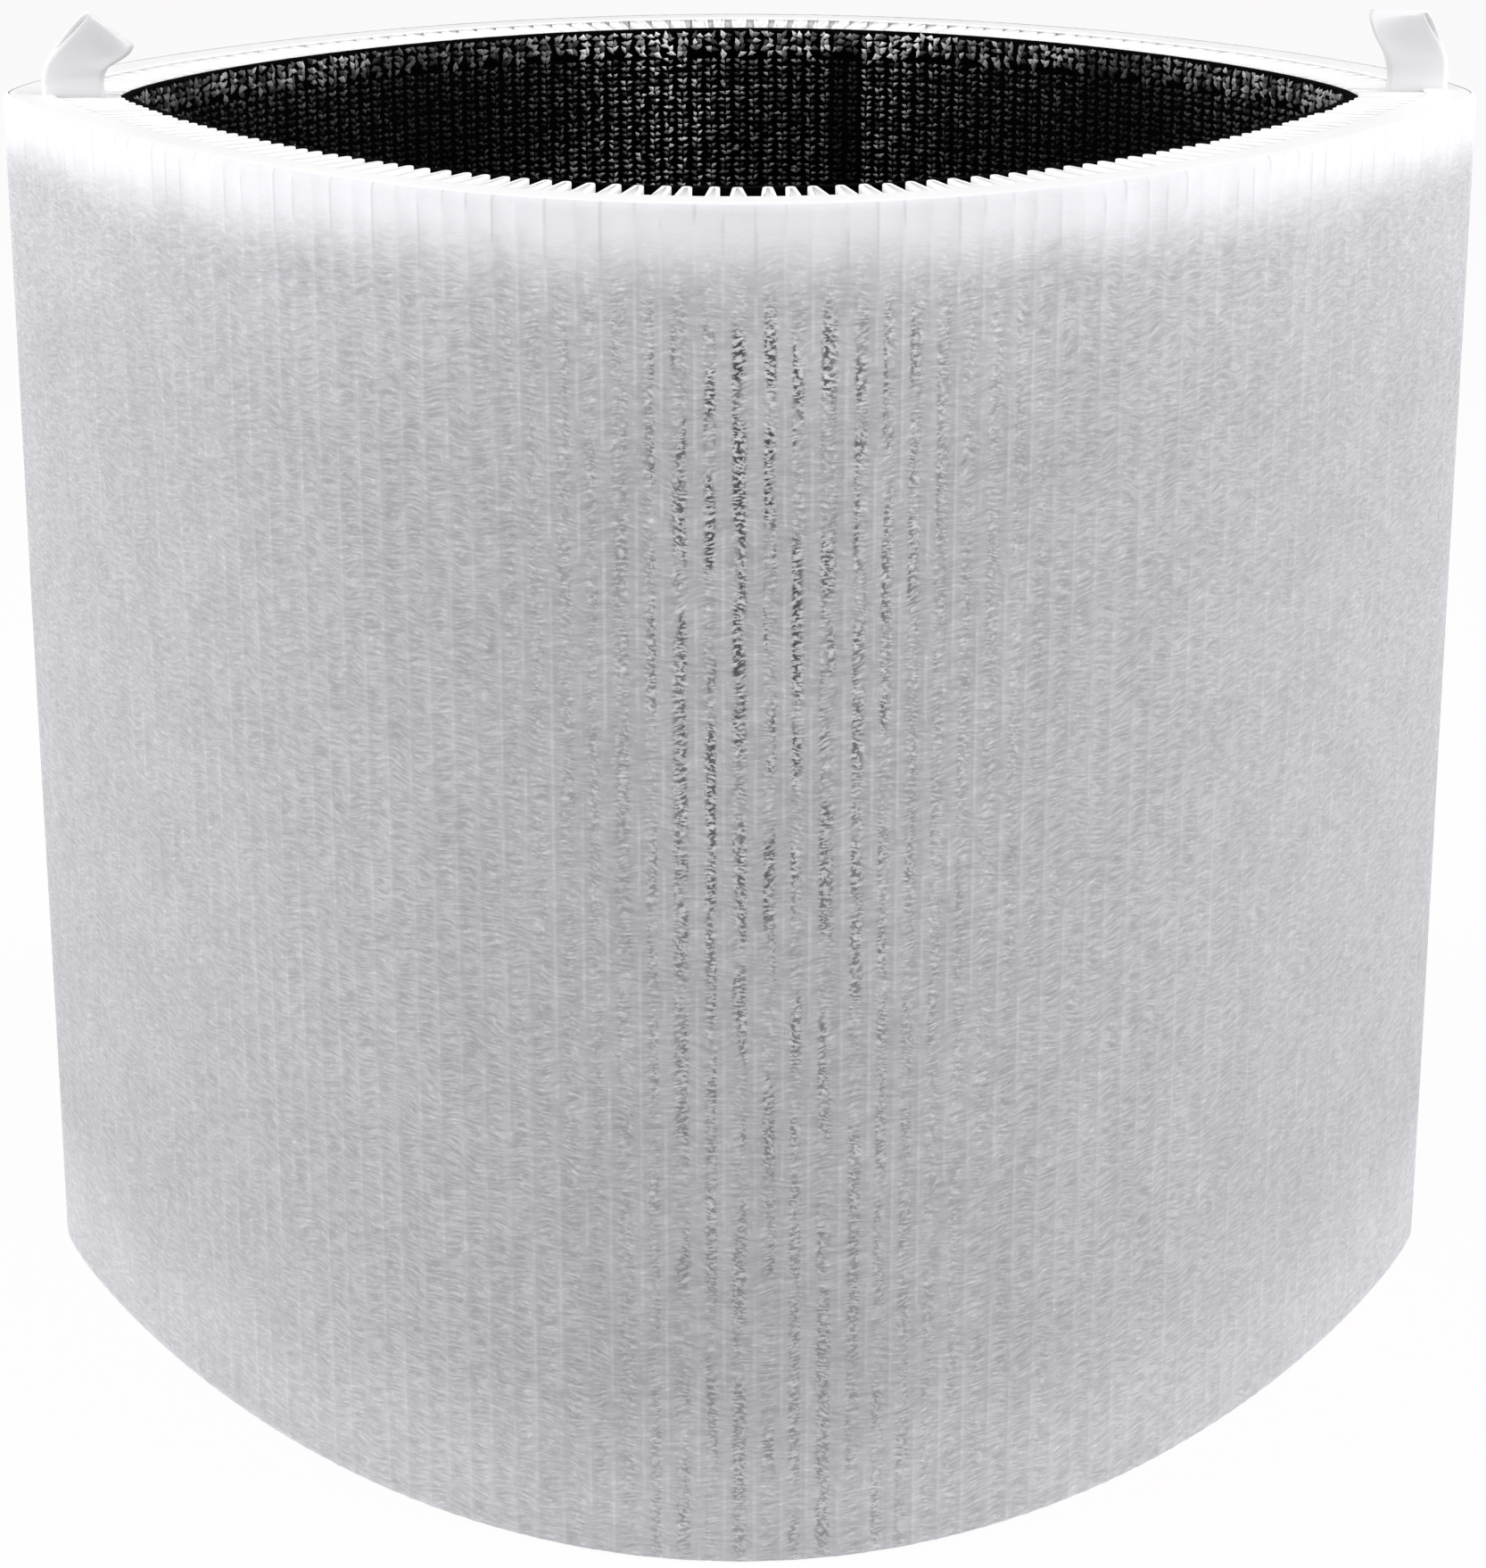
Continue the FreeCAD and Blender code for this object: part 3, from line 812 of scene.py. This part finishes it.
def make_net(felt, yarn):
    """The knitted net: dark ribs, a flat lap seam, and stitches on each rib."""
    columns = NET_RIBS * len(RIB_RELIEF)
    turn = np.arange(columns) * FULL_TURN / columns
    relief = np.tile(RIB_RELIEF, NET_RIBS)
    relief[over_lap(turn)] = LAP_RELIEF
    hem = NET_TOP - HEM
    # Height of each row of points, its lift and its share of the relief
    levels = [
        (BOTTOM_SEAT, 0.0, 1),
        (hem - 0.5 * MM, 0.0, 1),
        (hem, -0.15 * MM, 1),
        (hem + 0.4 * MM, 0.8 * HEM_LIFT, 1),
        (NET_TOP - 0.6 * MM, HEM_LIFT, 1),
        (NET_TOP, 0.0, 1),
        (NET_TOP, -0.35 * MM, 0),
    ]
    rows = [plan_points(NET_FACE - (relief * share + lift), turn, z) for z, lift, share in levels]
    faces = grid_faces(len(rows), columns)[:, ::-1]
    piece = mesh_object("net_backing", np.concatenate(rows), faces, felt)
    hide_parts("inner_net")
    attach(piece, "root")

    # Stitches deeper down are seen less, and have fewer strokes and sides
    row_count = (NET_TOP - BOTTOM_SEAT) / ROW_PITCH
    upper_from = BOTTOM_SEAT + round(UPPER_SHARE * row_count) * ROW_PITCH
    middle_from = BOTTOM_SEAT + round(MIDDLE_SHARE * row_count) * ROW_PITCH
    half_row = ROW_PITCH / 2
    for name, low, high, sides, paired in (
        ("net_loops_upper", upper_from, NET_TOP, 4, True),
        ("net_loops_middle", middle_from, upper_from - half_row, 4, False),
        ("net_loops_lower", BOTTOM_SEAT + ROW_PITCH, middle_from - half_row, 3, False),
    ):
        net_rows(name, low, high, sides, paired, yarn)


# The pull tabs' ribbon: its size, how far its edge lies inside the fold, how
# long each glued tail is, and its columns of points as shares of half its width
RIBBON_WIDTH = 10.0 * MM
RIBBON_THICKNESS = 0.25 * MM
RIBBON_INSET = 2.4 * MM
RIBBON_TAIL = 15.0 * MM
RIBBON_COLUMNS = np.linspace(-1, 1, 11)


def smooth_through(values, knots):
    """Values of a smooth curve through evenly spaced values."""
    before = 2 * values[0] - values[1]
    after = 2 * values[-1] - values[-2]
    padded = np.concatenate([[before], values, [after]])
    index = np.minimum(knots.astype(int), len(values) - 2)
    t = knots - index
    a, b, c, d = (padded[index + k] for k in range(4))
    square = 2 * a - 5 * b + 4 * c - d
    cube = 3 * b - a - 3 * c + d
    return 0.5 * (2 * b + (c - a) * t + square * t**2 + cube * t**3)


def ribbon_path(crown):
    """Line along a ribbon, up one leg and down the other: distance from the
    middle plane, height above the rim and share of the lean."""
    tail, belly, straight = 0.175 * MM, 1.3 * MM, 2.4 * MM
    rise = crown - straight
    leg = [
        (tail, -RIBBON_TAIL, 0.0),
        (tail, -0.4 * RIBBON_TAIL, 0.0),
        (tail, 0.0, 0.0),
        (1.3 * tail, straight, 0.0),
        (0.8 * belly, straight + 0.3 * rise, 0.15),
        (belly, straight + 0.68 * rise, 0.65),
        (0.72 * belly, straight + 0.93 * rise, 0.94),
    ]
    other_leg = [(-across, height, share) for across, height, share in leg]
    control = np.array(other_leg + [(0.0, crown, 1.0)] + leg[::-1])
    path_points = 85
    knots = np.linspace(0, len(control) - 1, path_points)
    return np.stack([smooth_through(values, knots) for values in control.T], axis=1)


def ribbon_face(path, side, middle, lean, tilt, turn):
    """Rows of points on one side of a ribbon, before it is turned to its tab:
    outwards from the filter's middle, across and up."""
    along = np.gradient(path[:, :2], axis=0)
    along /= np.linalg.norm(along, axis=1, keepdims=True)
    normal = np.stack([-along[:, 1], along[:, 0]], axis=1)
    wide = RIBBON_COLUMNS * RIBBON_WIDTH / 2
    rows = []
    for (across, height, share), (normal_across, normal_up) in zip(path, normal):
        across = across + normal_across * side * RIBBON_THICKNESS / 2
        height = height + normal_up * side * RIBBON_THICKNESS / 2
        tilted, turned = tilt * share, turn * share
        up = height + wide * math.sin(tilted)
        flat = wide * math.cos(tilted)
        outwards = flat * math.cos(turned) - across * math.sin(turned)
        outwards = outwards + middle - lean * share
        sideways = flat * math.sin(turned) + across * math.cos(turned)
        rows.append(np.stack([outwards, sideways, TOP + up], axis=1))
    return np.array(rows)


def ribbon(name, node, fold, inward, taller, lean, tilt, turn, material):
    """Satin loop on two tails, folded at its top and leaning inwards. fold is
    the turn of the plan at its pleat, and tilt and turn are degrees."""
    width = RIBBON_WIDTH
    tilt, turn = math.radians(tilt), math.radians(turn)
    at_fold = plan_points(FOLD_OUTER, fold, 0.0)
    direction = math.atan2(at_fold[1], at_fold[0])
    middle = math.hypot(at_fold[0], at_fold[1]) - RIBBON_INSET - inward - width / 2
    # The higher corner of the tilted crown is what stands tallest
    drop = math.sin(tilt) * width / 2
    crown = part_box(node)[1].z - TOP - RIBBON_THICKNESS / 2 - drop + taller
    path = ribbon_path(crown)
    near = ribbon_face(path, 1, middle, lean, tilt, turn)
    far = ribbon_face(path, -1, middle, lean, tilt, turn)
    section = np.concatenate([near, far[:, ::-1]], axis=1)
    outwards, sideways, up = np.moveaxis(section, -1, 0)
    cos, sin = math.cos(direction), math.sin(direction)
    x = outwards * cos - sideways * sin
    y = outwards * sin + sideways * cos
    points = np.stack([x, y, up], axis=-1)

    # The surface coordinate is the place across and the length along
    rows, columns = up.shape
    quads = grid_faces(rows, columns)
    row, column = quads // columns, quads % columns
    steps = np.linalg.norm(np.diff(path[:, :2], axis=0), axis=1)
    length = np.concatenate([[0], np.cumsum(steps)])
    place = np.concatenate([RIBBON_COLUMNS, RIBBON_COLUMNS[::-1]]) * width / 2
    uv = np.stack([place[column], length[row]], axis=-1).reshape(-1, 2)
    uv = np.concatenate([uv, np.zeros((2 * columns, 2))])
    start = list(range(columns))[::-1]
    end = list(range((rows - 1) * columns, rows * columns))
    faces = [list(quad) for quad in quads] + [start, end]
    piece = mesh_object(name, points, faces, material, uv)
    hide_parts(node)
    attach(piece, "root")


paper = paper_material()
fluff = fluff_material()
ring_white = white_material(
    "ring_white", level=0.86, roughness=0.5, grain_size=0.6 * MM, grain_depth=0.03 * MM
)
glue_white = white_material(
    "adhesive_white", level=0.87, roughness=0.45, grain_size=1.2 * MM, grain_depth=0.1 * MM
)
felt = felt_material()
yarn = yarn_material()
satin = satin_material()

for piece in (make_pleats(paper), make_sleeve(fluff), make_rim(ring_white), make_potting(glue_white)):
    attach(piece, "root")
make_net(felt, yarn)
ribbon(
    "ribbon_left",
    "pull_tab_left",
    fold=PITCH + math.pi,
    inward=2.6 * MM,
    taller=1.6 * MM,
    lean=6.3 * MM,
    tilt=35.0,
    turn=43.0,
    material=satin,
)
ribbon(
    "ribbon_right",
    "pull_tab_right",
    fold=PITCH,
    inward=0.3 * MM,
    taller=1.0 * MM,
    lean=3.6 * MM,
    tilt=3.0,
    turn=-42.0,
    material=satin,
)

# These two stay as the solids they are, and only take a material
for node, material in (("carbon_layer", felt), ("bottom_ring", ring_white)):
    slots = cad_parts[node].data.materials
    slots.clear()
    slots.append(material)


def floor_material():
    """Matt floor that shows paler to the camera and keeps its shadow."""
    paler = 0.93
    n = Nodes("floor")
    rays = n.add("ShaderNodeLightPath")
    seen = n.math("MAXIMUM", rays.outputs["Is Camera Ray"], rays.outputs["Is Glossy Ray"])
    seen = n.math("MAXIMUM", seen, rays.outputs["Is Transmission Ray"])
    matt = n.add("ShaderNodeBsdfDiffuse", Color=(0.9, 0.9, 0.9, 1))
    glow = n.add("ShaderNodeEmission", Color=(1.0, 0.985, 0.992, 1), Strength=1.0)
    return n.finish(n.mixed(n.math("MULTIPLY", seen, paler), matt, glow))


def make_floor():
    """Floor under the filter, wide enough to fill the picture."""
    size = 12.0
    corners = [(-size, -size, 0), (size, -size, 0), (size, size, 0), (-size, size, 0)]
    floor = mesh_object("floor", corners, [[0, 1, 2, 3]], floor_material())


def make_world():
    """Even white light from all round, and a pale wall for the camera."""
    light, wall = 0.36, (0.952, 0.940, 0.945, 1)
    world = bpy.data.worlds.new("studio")
    bpy.context.scene.world = world
    world.use_nodes = True
    tree = world.node_tree
    tree.nodes.clear()
    output = tree.nodes.new("ShaderNodeOutputWorld")
    rays = tree.nodes.new("ShaderNodeLightPath")
    lit = tree.nodes.new("ShaderNodeBackground")
    lit.inputs[0].default_value = (1, 1, 1, 1)
    lit.inputs[1].default_value = light
    shown = tree.nodes.new("ShaderNodeBackground")
    shown.inputs[0].default_value = wall
    mix = tree.nodes.new("ShaderNodeMixShader")
    link = tree.links.new
    link(rays.outputs["Is Camera Ray"], mix.inputs[0])
    link(lit.outputs[0], mix.inputs[1])
    link(shown.outputs[0], mix.inputs[2])
    link(mix.outputs[0], output.inputs[0])


def soft_light(name, place, size, power):
    """Rectangular light aimed at the middle of the filter."""
    aim = Vector((0, 0, 0.1))
    data = bpy.data.lights.new(name, "AREA")
    data.shape = "RECTANGLE"
    data.size, data.size_y = size
    data.energy = power
    light = bpy.data.objects.new(name, data)
    bpy.context.scene.collection.objects.link(light)
    light.location = place
    light.rotation_mode = "QUATERNION"
    light.rotation_quaternion = (light.location - aim).to_track_quat("Z", "Y")


def make_camera():
    """Camera at the photograph's angle, from a fit to its rims."""
    distance, above = 5.22 * OUTER, 0.65 * OUTER
    degrees_down = 17.38
    # These four are pixels of the photograph
    focal, width, height, middle = 4279, 1666, 1758, 829.1
    sensor = 36.0
    data = bpy.data.cameras.new("camera")
    data.sensor_fit = "VERTICAL"
    data.sensor_width = sensor
    data.sensor_height = sensor
    data.lens = sensor * focal / height
    data.shift_x = (width / 2 - middle) / height
    camera = bpy.data.objects.new("camera", data)
    bpy.context.scene.collection.objects.link(camera)
    camera.location = (0, -distance, TOP + above)
    camera.rotation_euler = (math.radians(90 - degrees_down), 0, 0)
    bpy.context.scene.camera = camera


make_floor()
make_world()
soft_light("top_light", place=(0, -0.3, 1.3), size=(1.4, 1.4), power=10)
soft_light("left_light", place=(-1.25, -0.25, 0.4), size=(0.9, 1.1), power=18)
soft_light("right_light", place=(1.25, -0.25, 0.4), size=(0.9, 1.1), power=18)
make_camera()
bpy.context.scene.view_settings.view_transform = "Standard"
